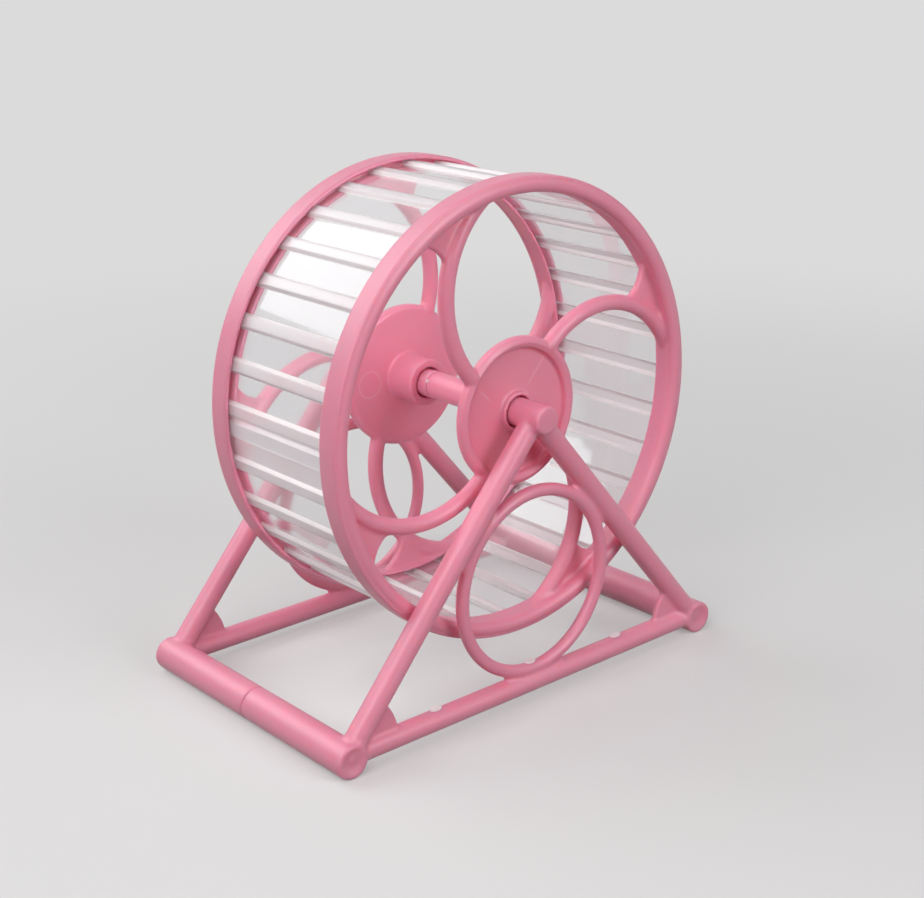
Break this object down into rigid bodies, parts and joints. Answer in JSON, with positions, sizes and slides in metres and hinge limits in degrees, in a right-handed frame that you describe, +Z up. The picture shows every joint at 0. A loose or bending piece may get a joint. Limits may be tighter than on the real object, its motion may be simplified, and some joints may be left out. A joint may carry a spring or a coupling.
{
  "type": "hamster exercise wheel",
  "caption": "Pet exercise wheel: a clear ribbed running drum between curved-arm side frames spins on a plug-together axle carried by an A-frame stand with rings.",
  "frame": {"origin": "on the floor, under the middle of the stand", "axes": "+X to the right seen from the front, +Y to the rear along the axle, +Z up"},
  "size_m": [0.1294, 0.0834, 0.1332],
  "materials": {
    "pink_plastic": "glossy injection moulded",
    "clear_sheet": "clear formed sheet, lightly frosted at its ribs"
  },
  "bodies": {
    "stand": {"front_left_leg": "pink_plastic", "front_right_leg": "pink_plastic", "front_left_foot_tube": "pink_plastic", "front_right_foot_tube": "pink_plastic", "front_base_bar": "pink_plastic", "front_ring": "pink_plastic", "front_axle": "pink_plastic", "rear_left_leg": "pink_plastic", "rear_right_leg": "pink_plastic", "rear_left_foot_tube": "pink_plastic", "rear_right_foot_tube": "pink_plastic", "rear_base_bar": "pink_plastic", "rear_ring": "pink_plastic", "rear_axle": "pink_plastic"},
    "wheel": {"front_rim": "pink_plastic", "front_hub": "pink_plastic", "front_arm_1": "pink_plastic", "front_arm_2": "pink_plastic", "front_arm_3": "pink_plastic", "front_arm_4": "pink_plastic", "rear_rim": "pink_plastic", "rear_hub": "pink_plastic", "rear_arm_1": "pink_plastic", "rear_arm_2": "pink_plastic", "rear_arm_3": "pink_plastic", "rear_arm_4": "pink_plastic", "track_strip": "clear_sheet"}
  },
  "joints": [
    {"name": "wheel_spin", "type": "hinge", "parent": "stand", "child": "wheel", "pos_m": [0, -0.0083, 0.0752], "axis": [0, 1, 0], "continuous": true}
  ]
}
